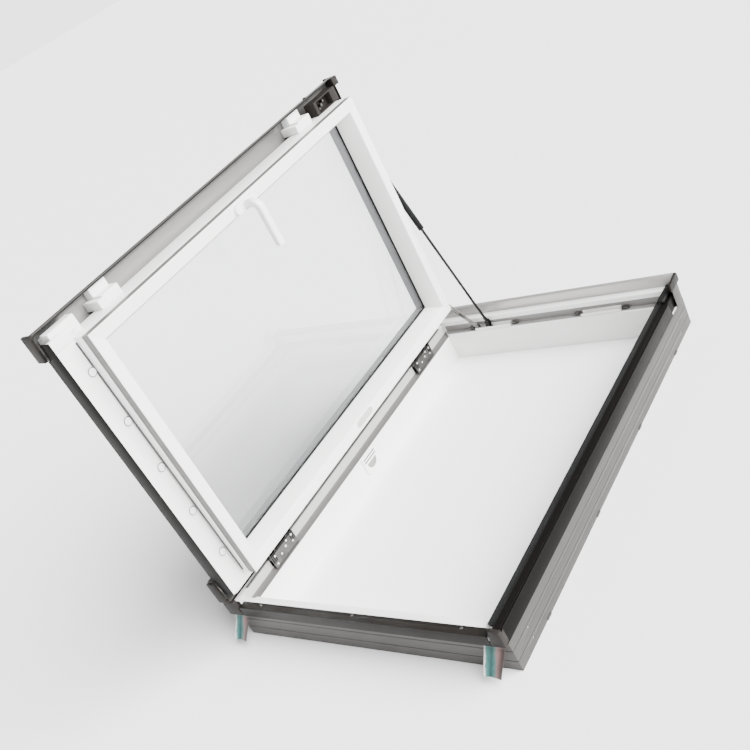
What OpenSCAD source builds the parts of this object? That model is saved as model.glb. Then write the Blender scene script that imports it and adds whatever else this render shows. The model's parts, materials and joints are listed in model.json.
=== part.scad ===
// Side-hung roof access window: a white moulded frame and sash, clad outside in aluminium.
// The frame lies flat, with the sash held open by a gas spring. +Z points out of the roof, +Y up the roof.

/* [Overall] */
// Frame width across the roof
frame_w = 780; // [660:10:1140]
// Frame length up the roof
frame_l = 1180; // [980:10:1600]
// Angle that the sash stands open
open_angle = 89; // [0:1:90]

/* [Frame] */
// Width of each frame member, from the outer face to the inner wall
member_w = 46; // [40:1:60]
// Height of the step that the sash closes on
wall_h = 89; // [80:1:110]
// Height of the outer cladding box
box_h = 80; // [70:1:85]
// Thickness of the upstand behind the step
ledge_d = 26; // [24:1:30]
// Rise of the long sides' upstands above the step
side_rise = 24.5; // [20:0.5:30]
// Rise of the head's upstand above the step
head_rise = 33; // [27:1:40]
// Rise of the sill's upstand above the step
sill_rise = 16; // [10:1:22]
// Thickness of the aluminium cladding sheet
skin_t = 1.5; // [1:0.1:2.5]
// Heights of the two grooves round the cladding box
groove_heights = [27, 56];
// Radius of the fixing holes in the long sides
side_hole_r = 2.25; // [1.5:0.25:3]
// Radius of the pilot holes in the underside
base_hole_r = 2; // [1.5:0.25:3]

/* [Sash] */
// Width of the ring's inner face
ring_face_w = 30.5; // [26:0.5:36]
// Overlap of the ring over the edge of the frame's inner wall
ring_lap = 1.5; // [0.5:0.5:4]
// Gap between the ring and the step when the sash is shut
ring_gap = 1.5; // [1:0.5:4]
// Depth from the ring's inner face to the glass
glass_depth = 54.5; // [50:0.5:58]
// Thickness of the glazing unit
glazing_t = 36; // [28:1:40]
// Thickness of each pane
pane_t = 5; // [4:1:6]
// Width of the side hoods
hood_w = 66; // [60:1:72]
// Height of the side hoods
hood_h = 33; // [30:1:40]
// Radius of the outer bend of the hoods
hood_r = 24; // [12:1:28]

/* [Hinges] */
// Distance from a frame end to the middle of the nearer hinge
hinge_inset = 190; // [150:5:240]
// Height of the hinge pin above the step
hinge_rise = 74.5; // [72:0.5:80]
// Distance of the hinge pin in from the frame's outer face
hinge_in = 30; // [28:1:34]
// Radius of the hinge pins
pin_r = 3; // [2.5:0.25:4]
// Radial running clearance on pins, rods and spindles
run_clear = 0.05; // [0.02:0.01:0.08]

/* [Gas spring and stay] */
// Distance of the spring's foot from the hinge pin, across the frame
foot_reach = 166; // [150:2:180]
// Distance of the spring's stud on the sash from the hinge pin
stud_reach = 536; // [520:2:560]
// Radius of the spring's tube
tube_r = 8.5; // [7:0.25:8.5]
// Length of the spring's tube
tube_len = 244; // [240:1:252]
// Radius of the spring's rod
rod_r = 4; // [3:0.25:5]
// Length of the flat stay arm between its pivot and its tip
stay_len = 116; // [112:1:120]

/* [Handle] */
// Position of the handle along the lock side
handle_y = 8; // [-100:2:100]
// Length of the handle's grip
grip_len = 118; // [90:2:130]
// Height of the handle's neck under the ring
neck_h = 44; // [36:1:46]

/* [Hidden] */
$fn = 48;
eps = 0.01;

// Colours
white = "#eceae6";
taupe = "#6e655f";
dark_taupe = "#4a423e";
steel = "#b9b6b2";
black = "#1c1b1a";

// Sides are numbered round the frame: 0 sill, 1 lock side, 2 head, 3 hinge side
SILL = 0;
LOCK = 1;
HEAD = 2;
HINGE = 3;
side_h = wall_h + side_rise;
head_h = wall_h + head_rise;
sill_h = wall_h + sill_rise;
half_w = frame_w / 2;
half_l = frame_l / 2;
function side_len(s, w, l) = (s == SILL || s == HEAD) ? 2 * w : 2 * l;

// Hinge axis, in X and Z
hinge_x = -half_w + hinge_in;
hinge_z = wall_h + hinge_rise;
hinge_ys = [-half_l + hinge_inset, half_l - hinge_inset];

// Ring of the sash, as it lies when shut
ring_x = half_w - member_w + ring_lap;
ring_y = half_l - member_w - 0.5;
ring_z = wall_h + ring_gap;
seat_z = ring_z + glass_depth - 2.5;
glass_z = ring_z + glass_depth;
sash_top = glass_z + glazing_t;
flange_z = ring_z + 51;
seat_in = 45;
glass_in = 17;
hood_over = 6;
hood_x = half_w + hood_over;
hood_y = half_l + 16;
hood_z = sash_top - 7;
hood_t = 1.6;
sill_lip_y = half_l + 10;

// A cross-section given as inward distance and height, extruded along X
module bar(len) {
    translate([-len / 2, 0, 0]) rotate([90, 0, 90]) linear_extrude(len) children();
}

// The same bar with both ends mitred at 45 degrees
module mitred(len) {
    reach = 120;
    intersection() {
        bar(len + 2 * 40) children();
        translate([0, 0, -1]) linear_extrude(400)
            polygon([[-len / 2 - 40, -40], [len / 2 + 40, -40],
                [len / 2 - reach, reach], [-len / 2 + reach, reach]]);
    }
}

// Places a bar, made along X, on one side of a rectangle of half sizes w and l
module on_side(s, w, l) {
    places = [[0, -l, 0], [w, 0, 0], [0, l, 0], [-w, 0, 0]];
    translate(places[s]) rotate([0, 0, 90 * s]) children();
}

// Turns a piece of the shut sash to its open place
module opened() {
    translate([hinge_x, 0, hinge_z]) rotate([0, -open_angle, 0]) translate([-hinge_x, 0, -hinge_z])
        children();
}

// Point of the shut sash, in X and Z, carried to its open place
function carried(p) = [
    hinge_x + (p[0] - hinge_x) * cos(open_angle) - (p[1] - hinge_z) * sin(open_angle),
    hinge_z + (p[0] - hinge_x) * sin(open_angle) + (p[1] - hinge_z) * cos(open_angle)];

// ---------- Frame members ----------

cover_d = 8;
sheet_back = 2;
scoop_h = 7;
nose_r = 5;

// Long side member: a scooped step, then the upstand
module side_core_2d() {
    scoop_w = member_w - ledge_d;
    polygon(concat(
        [[skin_t, 0], [member_w, 0]],
        [for (t = [0:15:90]) [member_w - scoop_w * sin(t), wall_h - scoop_h * cos(t)]],
        [[ledge_d, side_h], [cover_d, side_h], [cover_d, box_h], [skin_t, box_h]]));
}

// Sill or head member: a flat step with a rounded nose, then the upstand of height h
module end_core_2d(h) {
    polygon(concat(
        [[skin_t, 0], [member_w, 0]],
        [for (t = [0:15:90]) [member_w - nose_r + nose_r * cos(t), wall_h - nose_r + nose_r * sin(t)]],
        [[ledge_d, wall_h], [ledge_d, h], [sheet_back, h], [sheet_back, box_h], [skin_t, box_h]]));
}

side_hole_ys = [-half_l + 70, half_l - 70];
side_hole_zs = [18, 48];
side_hole_deep = 30;

// Blind fixing holes bored from both long sides
module side_holes() {
    for (x = [-1, 1], y = side_hole_ys, z = side_hole_zs)
        translate([x * half_w, y, z]) rotate([0, -x * 90, 0])
            translate([0, 0, -1]) cylinder(r = side_hole_r, h = side_hole_deep + 1);
}

base_hole_in = 23;
base_hole_deep = 25;
base_holes_x = half_w - base_hole_in;
base_holes_y = half_l - 120;

// Pilot holes in the underside of the two long members
module base_holes() {
    for (x = [-1, 1], y = [-1, 1])
        translate([x * base_holes_x, y * base_holes_y, -1]) cylinder(r = base_hole_r, h = base_hole_deep + 1);
}

module frame_long_side(s) {
    color(white) difference() {
        on_side(s, half_w, half_l) mitred(frame_l) side_core_2d();
        side_holes();
        base_holes();
    }
}

module frame_lock_side() { frame_long_side(LOCK); }
module frame_hinge_side() { frame_long_side(HINGE); }

sill_screw_xs = [-290, 0, 290] * (frame_w / 780);
sill_screw_d = 5;
screw_r = 1.6;
screw_len = 12;

module frame_sill() {
    color(white) difference() {
        on_side(SILL, half_w, half_l) mitred(frame_w) end_core_2d(sill_h);
        sill_screw_holes();
    }
}

module frame_head() {
    color(white) on_side(HEAD, half_w, half_l) mitred(frame_w) end_core_2d(head_h);
}

// ---------- Outer cladding ----------

groove_w = 2;
groove_deep = 0.7;

module skin_2d() {
    difference() {
        square([skin_t, box_h]);
        for (z = groove_heights) translate([-1, z - groove_w / 2]) square([1 + groove_deep, groove_w]);
    }
}

tab_len = 44;
tab_top = head_h + 5;

module skin(s) {
    color(taupe) difference() {
        union() {
            on_side(s, half_w, half_l) mitred(side_len(s, half_w, half_l)) skin_2d();
            if (s == LOCK) translate([half_w - skin_t, half_l - tab_len, box_h - eps])
                cube([skin_t, tab_len - sheet_back, tab_top - box_h]);
        }
        side_holes();
    }
}

module skin_sill() { skin(SILL); }
module skin_lock_side() { skin(LOCK); }
module skin_head() { skin(HEAD); }
module skin_hinge_side() { skin(HINGE); }

lip_over = 10;
cap_reach = 34;
sheet_t = 1.5;

// Angle cover on the sill: a lip in front and a flat top
module sill_cover() {
    len = 2 * (half_w - cap_reach - 0.3);
    color(dark_taupe) difference() {
        on_side(SILL, half_w, half_l) bar(len)
            polygon([[-lip_over, box_h - 1], [-lip_over + sheet_t, box_h - 1], [-lip_over + sheet_t, sill_h],
                [12, sill_h], [12, sill_h + sheet_t], [-lip_over, sill_h + sheet_t]]);
        sill_screw_holes();
    }
}

module sill_screw_holes() {
    for (x = sill_screw_xs) translate([x, -half_l + sill_screw_d, sill_h - screw_len - 1])
        cylinder(r = screw_r + run_clear, h = screw_len + 10);
}

module sill_screws() {
    color(steel) for (x = sill_screw_xs) translate([x, -half_l + sill_screw_d, sill_h + sheet_t]) {
        cylinder(r1 = 3.6, r2 = 2.6, h = 1.6);
        translate([0, 0, -screw_len]) cylinder(r = screw_r, h = screw_len);
    }
}

cap_t = 12;

// Moulded caps that close the ends of the sill cover and of the side covers
module sill_caps() {
    color(taupe) {
        translate([half_w, -half_l - lip_over, 0]) sill_cap(0);
        mirror([1, 0, 0]) translate([half_w, -half_l - lip_over, 0]) sill_cap(gutter_out + 2);
    }
}

module sill_cap(out) {
    foot = box_h - 1;
    rotate([90, 0, 0]) translate([0, 0, -(lip_over - 0.3)]) linear_extrude(lip_over - 0.3)
        polygon([[-cap_reach, foot], [out == 0 ? -1 : out, foot], [out == 0 ? -1 : out, sill_h + 11],
            [out == 0 ? -1 : out - 8, sill_h + 14], [-6, sill_h + 16], [-24, sill_h + 19]]);
    translate([-cap_reach, lip_over - 0.3 - eps, box_h]) cube([cap_reach - 9, sheet_back + 0.3, sill_h + 11 - box_h]);
    if (out == 0) translate([-1.8, lip_over - 0.3 - eps, box_h + 0.2]) cube([0.8, cover_d, sill_h + 9 - box_h]);
}

// Upright channel at the head, with a flange that turns outwards
head_cover_from = hinge_x + hinge_z - hood_z + 6.5;
head_cover_to = half_w - 6;
module head_cover() {
    len = head_cover_to - head_cover_from;
    top = head_h + 28;
    color(steel) translate([(head_cover_to + head_cover_from) / 2, 0, 0]) on_side(HEAD, 0, half_l) bar(len)
        polygon([[0.5, box_h], [sheet_back, box_h], [sheet_back, top + 0.8], [-lip_over, top + 2.3],
            [-lip_over, top - 8], [-lip_over + sheet_t, top - 8], [-lip_over + sheet_t, top + 0.6],
            [0.5, top - 0.8]]);
}

// End caps of the head cover
module head_caps() {
    color(dark_taupe) {
        translate([head_cover_to + 0.2, half_l - 49, tab_top + 0.2]) head_cap_plate(61);
        translate([head_cover_from - 3.2, half_l - 6, head_h + 0.2]) head_cap_plate(18, 3);
    }
}

module head_cap_plate(len, t = 6.8) {
    rotate([90, 0, 90]) linear_extrude(t)
        polygon([[0, 2], [len - 2, 0], [len, 4], [len, 18], [len - 4, head_h + 31 - tab_top], [0, 20]]);
}

// Dark folded cover on the lock side, below the strip
side_cover_end = 82;
module lock_side_cover() {
    len = frame_l - cover_d - side_cover_end;
    color(dark_taupe) translate([0, (cover_d - side_cover_end) / 2, 0]) on_side(LOCK, half_w, 0) bar(len)
        polygon([[0, box_h], [1.8, box_h], [5.9, side_h - 2], [cover_d - 0.2, side_h - 2],
            [cover_d - 0.2, side_h], [4.4, side_h]]);
    lining = side_cover_end - ledge_d - 0.3;
    color(dark_taupe) translate([0, half_l - side_cover_end + 0.1 + lining / 2, 0]) on_side(LOCK, half_w, 0)
        bar(lining) polygon([[cover_d - 1.5, box_h], [cover_d, box_h], [cover_d, side_h],
            [ledge_d - 1.6, side_h], [ledge_d - 1.6, side_h + 1.2], [cover_d - 1.5, side_h + 1.2]]);
}

// Flat strip on top of the lock side's upstand, with a bright edge
strip_out = 24;
module lock_side_strip() {
    len = frame_l - sheet_back - side_cover_end;
    color(dark_taupe) translate([0, (sheet_back - side_cover_end) / 2, 0]) on_side(LOCK, half_w, 0) bar(len)
        polygon([[cover_d, side_h], [strip_out, side_h], [strip_out, side_h + 3.4],
            [strip_out - 1.2, side_h + 3.4], [strip_out - 1.2, side_h + 1.8], [cover_d, side_h + 1.6]]);
}

gasket_lip = 12;
module lock_side_gasket() {
    len = frame_l - 2 * member_w - 2;
    color(black) on_side(LOCK, half_w, 0) bar(len)
        polygon([[ledge_d - 1.4, side_h], [ledge_d, side_h], [ledge_d, side_h - 8], [ledge_d + 2, side_h - 8],
            [ledge_d + 2, side_h - 2], [ledge_d + gasket_lip - 1, side_h + 2],
            [ledge_d + gasket_lip, side_h + 4.6], [ledge_d + gasket_lip - 2, side_h + 5],
            [ledge_d + 3, side_h + 2.6], [ledge_d - 1.4, side_h + 4]]);
}

// Thick moulded end of the gasket, under the head cover
module gasket_end() {
    len = 54;
    head_in = half_l - ledge_d - 0.3;
    top = head_h + 5;
    color(black) translate([half_w - ledge_d + 3, head_in - len, side_h + 5.2]) {
        translate([-8, 8, 0]) cube([16, len - 8, top - side_h - 5.2]);
        translate([0, 8, 0]) cylinder(r = 8, h = top - side_h - 5.2);
        translate([-8, len - eps, head_h + 0.2 - side_h - 5.2]) cube([16, ledge_d - 2.5, top - head_h - 0.2]);
    }
}

// Thin seal along the top of the hinge side's upstand
module hinge_side_seal() {
    color(black) on_side(HINGE, half_w, 0) bar(frame_l - 2 * member_w - 2)
        polygon([[ledge_d - 8, side_h], [ledge_d, side_h], [ledge_d, side_h + 2], [ledge_d - 8, side_h + 2.5]]);
}

gutter_out = 15;
// Channel outside the hinge side that the hood folds down into
module hinge_side_gutter() {
    len = frame_l - 2 * sheet_back;
    color(dark_taupe) on_side(HINGE, half_w, half_l) bar(len)
        polygon([[sheet_back, box_h], [sheet_back, box_h + sheet_t], [-gutter_out + sheet_t, box_h + sheet_t],
            [-gutter_out + sheet_t, side_h + 10], [-gutter_out, side_h + 10], [-gutter_out, box_h]]);
}

// ---------- Hinges ----------

leaf_len = 100;
leaf_t = 2.5;
leaf_d = member_w - 6;
ear_t = 2.5;
ear_ys = [26, 37.5, 49];
ear_r = 8;
leaf_top = hinge_z - 38;

// Frame leaf, seen along Y: front plate, bridge and back plate
module leaf_2d() {
    translate([leaf_d - leaf_t, wall_h - scoop_h + 1]) square([leaf_t, leaf_top - wall_h + scoop_h - 1]);
    translate([ledge_d, side_h + 6]) square([leaf_d - ledge_d, leaf_t]);
    translate([ledge_d, wall_h + 3]) square([leaf_t, side_h + 6 - wall_h - 3 + leaf_t]);
}

module ear_2d() {
    difference() {
        union() {
            translate([hinge_in, hinge_z]) circle(ear_r);
            polygon([[leaf_d, leaf_top - 12], [hinge_in + ear_r, hinge_z], [hinge_in - ear_r, hinge_z],
                [hinge_in - 2, leaf_top - 12]]);
        }
        translate([hinge_in, hinge_z]) circle(pin_r + run_clear);
    }
}

// Frame leaves, with the hinge pins
module hinge_frame_leaves() {
    color(steel) for (y = hinge_ys) translate([0, y, 0]) {
        on_side(HINGE, half_w, 0) bar(leaf_len) leaf_2d();
        for (m = [-1, 1]) {
            for (k = [0, 2]) translate([0, m * ear_ys[k], 0]) on_side(HINGE, half_w, 0) bar(ear_t) ear_2d();
            translate([hinge_x, m * ear_ys[1], hinge_z]) rotate([90, 0, 0])
                cylinder(r = pin_r, h = ear_ys[2] - ear_ys[0] + ear_t + 3, center = true);
            for (k = [ear_ys[0] - ear_t / 2 - 1.5, ear_ys[2] + ear_t / 2])
                translate([hinge_x, m * (k + 0.75), hinge_z]) rotate([90, 0, 0])
                    cylinder(r = pin_r + 1.5, h = 1.5, center = true);
        }
    }
}

rivet_places = [[-40, 5], [36, 11], [8, 19], [-14, 14], [-36, 27], [40, 28], [18, 29]];
module hinge_leaf_rivets() {
    color(steel) for (y = hinge_ys, p = rivet_places)
        translate([-half_w + leaf_d, y + p[0], wall_h + p[1]]) rotate([0, 90, 0])
            cylinder(r1 = 3.4, r2 = 2.2, h = 1.4);
}

// Sash leaf: a plate on the ring's outer face, with one ear in each pair
module hinge_sash_leaves() {
    ring_d = half_w - ring_x;
    color(steel) opened() for (y = hinge_ys) translate([0, y, 0]) {
        on_side(HINGE, half_w, 0) bar(leaf_len) translate([ring_d - leaf_t, hinge_z - 12]) square([leaf_t, 27]);
        for (m = [-1, 1]) translate([0, m * ear_ys[1], 0]) on_side(HINGE, half_w, 0) bar(ear_t)
            difference() {
                union() {
                    translate([hinge_in, hinge_z]) circle(ear_r);
                    translate([hinge_in, hinge_z - ear_r]) square([ring_d - hinge_in - 1, 2 * ear_r]);
                }
                translate([hinge_in, hinge_z]) circle(pin_r + run_clear);
            }
    }
}

// ---------- Fittings on the frame ----------

plate_w = 70;
plate_h = 54;
plate_t = 4;

// Catch plate on the hinge side's inner wall, with two slots and a round pocket
module catch_plate() {
    color(white) translate([-half_w + member_w, 0, 50]) rotate([90, 0, 90]) linear_extrude(plate_t)
        difference() {
            union() {
                translate([-plate_w / 2, -plate_h / 2 + 10]) square([plate_w, plate_h - 10]);
                translate([-plate_w / 2 + 10, -plate_h / 2]) square([plate_w - 20, 10]);
                for (x = [-1, 1]) translate([x * (plate_w / 2 - 10), -plate_h / 2 + 10]) circle(10);
            }
            for (z = [8, 17]) translate([-plate_w / 2 + 6, z]) square([plate_w - 12, 4]);
            intersection() {
                translate([0, 2]) circle(22);
                translate([-30, -30]) square([60, 32]);
            }
        }
}

// Shelf rails in the head's recess
rail_y = half_l - member_w + 1.3;
rail_w = member_w - ledge_d - 3;
rail_spans = [[hinge_x + 120, hinge_x + 242], [hinge_x + 475, hinge_x + 592]];
rail_t = 1.5;
module head_rails() {
    color(steel) for (s = rail_spans) translate([s[0], rail_y, wall_h]) rotate([90, 0, 90])
        linear_extrude(s[1] - s[0])
            polygon([[0, 0], [rail_w, 0], [rail_w, 11], [rail_w - rail_t, 11], [rail_w - rail_t, rail_t],
                [rail_t, rail_t], [rail_t, 8], [0, 8]]);
}

// Coiled ends and levers beside the rails
module rail_fittings() {
    color(steel) for (s = rail_spans) {
        for (x = [s[0] - 14, s[1] + 14]) translate([x, rail_y + 12, wall_h + 5.2]) {
            for (k = [-1.5:1:1.5]) translate([k * 3.6, 0, 0]) rotate([0, 90, 0])
                cylinder(r = 5, h = 2.2, center = true);
            rotate([0, 90, 0]) cylinder(r = 2, h = 24, center = true);
        }
        translate([s[1] + 1, rail_y + 11.5, wall_h]) cube([22, 3.4, 8]);
    }
}

spring_y = half_l - ledge_d - tube_r - 1;
foot_x = hinge_x + foot_reach;
foot_z = wall_h + 21;
eye_t = 6;
eye_r = 7.5;
foot_pin_r = 3;
foot_w = 12;

// Bracket with two cheeks and a pin for the spring's lower eye
module spring_foot() {
    cheek_t = 1.5;
    base = wall_h + rail_t;
    color(black) {
        translate([foot_x - 10, spring_y - foot_w / 2, base]) cube([20, foot_w, 3]);
        for (m = [-1, 1]) translate([foot_x, spring_y + m * (foot_w - cheek_t) / 2, 0]) rotate([90, 0, 0])
            linear_extrude(cheek_t, center = true) {
                translate([0, foot_z]) circle(7);
                translate([-7, base]) square([14, foot_z - base]);
            }
        translate([foot_x, spring_y, foot_z]) rotate([90, 0, 0])
            cylinder(r = foot_pin_r, h = foot_w, center = true);
    }
}

stay_x = hinge_x + 128;
stay_z = wall_h + 11;
stay_y = half_l - member_w + 5;
stay_t = 2.5;
stay_w = 13;
stay_pin_r = 3;

// Post and pin that the stay arm turns on
module stay_post() {
    color(steel) {
        translate([stay_x - 8, stay_y + stay_t + 0.6, wall_h + rail_t]) cube([16, 2.5, 17]);
        translate([stay_x, stay_y + stay_t + 1, stay_z]) rotate([90, 0, 0])
            cylinder(r = stay_pin_r, h = stay_t + 2.4);
        translate([stay_x, stay_y - 0.4, stay_z]) rotate([90, 0, 0]) cylinder(r = stay_pin_r + 2, h = 1);
    }
}

lug_ys = [for (k = [-1.5:1:1.5]) k * (frame_l - 280) / 3];
// Small lugs along the foot of both long sides
module side_lugs() {
    color(dark_taupe) for (m = [-1, 1], y = lug_ys)
        translate([m == 1 ? half_w : -half_w - 2, y - 9, 0]) cube([2, 18, 5]);
}

// Foil strips that hang from the ends of the sill
tail_w = 54;
module foil_tail() {
    color("#8fb5ae") rotate([90, 0, 90]) linear_extrude(tail_w)
        polygon([[-half_l - 0.4, box_h - 1.4], [-half_l - 2.4, box_h - 1.4], [-half_l - 4, 70],
            [-half_l - 24, 46], [-half_l - 47, 23], [-half_l - 45, 21], [-half_l - 22, 44],
            [-half_l - 2, 68]]);
}

module foil_tail_lock() { translate([half_w - 8 - tail_w, 0, 0]) foil_tail(); }
module foil_tail_hinge() { translate([-half_w - 14, 0, 0]) foil_tail(); }

// ---------- Sash ----------

groove_at = 22;
chamfer = 1.5;

// Ring member as it lies when shut: inner face down, glazing seat on top
module ring_2d() {
    polygon([[chamfer, ring_z], [ring_face_w - chamfer, ring_z], [ring_face_w + 0.4, ring_z + chamfer],
        [seat_in, seat_z], [glass_in - 0.5, seat_z], [glass_in - 0.5, sash_top], [0, sash_top],
        [0, ring_z + groove_at + 3], [3, ring_z + groove_at + 3], [3, ring_z + groove_at],
        [0, ring_z + groove_at], [0, ring_z + chamfer]]);
}

module sash_member(s) {
    color(white) opened() on_side(s, ring_x, ring_y) mitred(side_len(s, ring_x, ring_y)) ring_2d();
}

module sash_sill() { sash_member(SILL); }
module sash_lock_side() { sash_member(LOCK); }
module sash_head() { sash_member(HEAD); }
module sash_hinge_side() { sash_member(HINGE); }

module pane(inset, z, t) {
    opened() translate([-ring_x + inset, -ring_y + inset, z]) cube([2 * (ring_x - inset), 2 * (ring_y - inset), t]);
}

module pane_inner() { color("#cfd8dc") pane(glass_in, glass_z, pane_t); }
module pane_outer() { color("#cfd8dc") pane(glass_in, sash_top - pane_t, pane_t); }

// A flat square ring between two insets from the ring's outer face
module band(outer_in, inner_in, z, h) {
    opened() translate([0, 0, z]) linear_extrude(h) difference() {
        square([2 * (ring_x - outer_in), 2 * (ring_y - outer_in)], center = true);
        square([2 * (ring_x - inner_in), 2 * (ring_y - inner_in)], center = true);
    }
}

module pane_spacer() { color("#9b99a0") band(glass_in + 4, seat_in + 3, glass_z + pane_t, glazing_t - 2 * pane_t); }
module glazing_gasket() { color(black) band(glass_in + 18, seat_in + 4, seat_z, glass_z - seat_z); }
module ring_gasket() { color(black) band(0.8, 3, ring_z + groove_at + 0.3, 2.4); }

seam_x = ring_x - 3;
flange_end = half_w - 20;
flange_t = 12;

// White flange along the sill side of the sash, with recesses for the plugs
plug_xs = [for (k = [-2:2]) k * 133 * frame_w / 780];
plug_r = 9;
plug_y = -ring_y - 12;
module sash_sill_flange() {
    color(white) opened() difference() {
        translate([-seam_x, -sill_lip_y + hood_t, flange_z]) cube([2 * seam_x, sill_lip_y - hood_t - ring_y, flange_t]);
        for (x = plug_xs) translate([x, plug_y, flange_z - 1]) cylinder(r = plug_r + 0.2, h = 5);
    }
}

module flange_plugs() {
    color(white) opened() for (x = plug_xs) translate([x, plug_y, flange_z - 1.5]) {
        cylinder(r1 = plug_r - 1, r2 = plug_r, h = 1);
        translate([0, 0, 1]) cylinder(r = plug_r, h = 4.3);
    }
}

block_in = 78;
// Moulded corner blocks between the ring, the sill lip and the hoods
module sash_corner_blocks() {
    color(white) opened() for (m = [0, 1]) mirror([m, 0, 0]) {
        translate([seam_x + 0.3, -sill_lip_y + hood_t, flange_z])
            cube([flange_end - seam_x - 0.3, sill_lip_y - hood_t - ring_y, flange_t]);
        translate([ring_x, -ring_y - 40, flange_z + flange_t])
            cube([hood_x - 14 - ring_x, block_in, sash_top - flange_z - flange_t]);
        translate([ring_x, -ring_y - 40, sash_top]) cube([hood_x - 22 - ring_x, block_in - 26, 16]);
        translate([ring_x + 10, -ring_y - 30, flange_z + flange_t - 6]) cube([16, block_in - 24, 6]);
    }
}

// Hood outline: a rounded outer shoulder; the shell is this less its inset copy
module shoulder_2d(w, h, r) {
    intersection() {
        square([w, h]);
        union() {
            square([w, h - r]);
            translate([r, 0]) square([w - r, h]);
            translate([r, h - r]) circle(r);
        }
    }
}

module hood_2d() {
    difference() {
        shoulder_2d(hood_w, hood_h, hood_r);
        translate([hood_t, -1]) shoulder_2d(hood_w - 2 * hood_t, hood_h - hood_t + 1, hood_r - hood_t);
        translate([hood_w - hood_t - 1, -1]) square([hood_t + 2, sash_top + 1.5 - hood_z + 1]);
    }
}

module hood_run(s, from, to) {
    color(taupe) opened() translate([0, (from + to) / 2, 0]) on_side(s, hood_x, 0) bar(to - from)
        translate([0, hood_z]) hood_2d();
}

module hood_lock_side() { hood_run(LOCK, -sill_lip_y, hood_y); }
module hood_hinge_side() { hood_run(HINGE, -sill_lip_y, hood_y); }

module hood_head() {
    color(taupe) opened() on_side(HEAD, 0, hood_y) bar(2 * (hood_x - hood_w - 0.3))
        translate([0, hood_z]) hood_2d();
}

// Plain angle along the sill side of the sash
module sash_sill_cover() {
    color(dark_taupe) opened() {
        on_side(SILL, 0, sill_lip_y) bar(2 * flange_end)
            polygon([[0, flange_z], [hood_t, flange_z], [hood_t, hood_z - 0.3], [0, hood_z - 0.3]]);
        on_side(SILL, 0, sill_lip_y) bar(2 * (hood_x - hood_w - 0.3))
            polygon([[0, hood_z - 0.3], [hood_t, hood_z - 0.3], [hood_t, sash_top + 1.5],
                [sill_lip_y - ring_y + 46, sash_top + 1.5], [sill_lip_y - ring_y + 46, sash_top + 3.1],
                [0, sash_top + 3.1]]);
    }
}

// Caps on the sill ends of the side hoods
module hood_sill_caps() {
    color(dark_taupe) opened() for (m = [0, 1]) mirror([m, 0, 0])
        translate([hood_x - hood_w + 1, -sill_lip_y - 0.2, hood_z - 2]) rotate([90, 0, 0]) linear_extrude(6.8)
            polygon([[0, 10], [2, hood_h + 3], [hood_w - 1, hood_h + 3], [hood_w, hood_h], [hood_w, 2],
                [hood_w - 2, 0], [hood_w - 9, 0], [hood_w - 12, 6]]);
}

// Caps on the head ends of the side hoods; the lock side's one reaches down over the head cover
module hood_head_caps() {
    drop = 15;
    color(dark_taupe) opened() {
        for (m = [0, 1]) mirror([m, 0, 0]) translate([hood_x - hood_w, hood_y + 0.2, hood_z])
            cube([hood_w, 2, hood_h + 0.5]);
        translate([hood_x - 22, hood_y - 22, hood_z - drop]) cube([22, 24.2, drop - 0.2]);
        translate([hood_x + 0.1, half_l - 118, hood_z + 6]) rotate([0, 90, 0]) cylinder(r = 5, h = 3);
    }
}

// Black seal inside the lip of the lock side's hood
module hood_seal() {
    color(black) opened() on_side(LOCK, hood_x, 0) bar(frame_l - 40)
        translate([hood_t, hood_z]) square([3, 3]);
}

clip_len = 52;
clip_ys = hinge_ys;
// White clips that carry the lock side's hood on the ring
module hood_clips() {
    color(white) opened() for (y = clip_ys) translate([0, y, 0]) {
        on_side(LOCK, hood_x, 0) bar(clip_len) clip_2d(6);
        translate([0, -clip_len / 2 - 8, 0]) on_side(LOCK, hood_x, 0) bar(16) clip_2d(30);
    }
}

module clip_2d(from) {
    ring_d = hood_x - ring_x;
    intersection() {
        translate([hood_t + 0.3, hood_z]) shoulder_2d(hood_w - 2 * hood_t - 0.6, hood_h - hood_t - 0.3, hood_r - hood_t);
        translate([from, sash_top - 2]) square([ring_d - from, 60]);
    }
    translate([max(from, 26), flange_z + 8]) square([ring_d - max(from, 26), sash_top - flange_z - 9]);
}

// Dark lock housing near the head end, open towards the room
box_from = half_l - 135;
box_len = 108;
module lock_box() {
    color(dark_taupe) opened() translate([ring_x, box_from, flange_z + 4]) difference() {
        cube([36, box_len, sash_top - flange_z - 4]);
        translate([3, 12, -1]) cube([30, box_len - 40, 22]);
    }
}

module lock_box_bolts() {
    color(steel) opened() for (k = [0, 1, 2]) translate([ring_x + 10 + 6 * k, box_from + 28 + 12 * k, flange_z + 13])
        cylinder(r = 3 + k % 2, h = 12);
}

// ---------- Handle ----------

handle_x = ring_x - 19.5;
cut_end = 8;
rosette_w = 24;
rosette_h = 8;
spindle_r = 7;

module handle_base() {
    color(white) opened() difference() {
        translate([handle_x, handle_y, ring_z - rosette_h]) linear_extrude(rosette_h) {
            square([rosette_w, 56], center = true);
            for (m = [-1, 1]) translate([0, m * 28]) circle(rosette_w / 2);
        }
        translate([handle_x, handle_y, ring_z - rosette_h - 1]) cylinder(r = spindle_r + run_clear, h = rosette_h + 2);
    }
}

lever_w = 22;
grip_t = 15;
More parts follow.
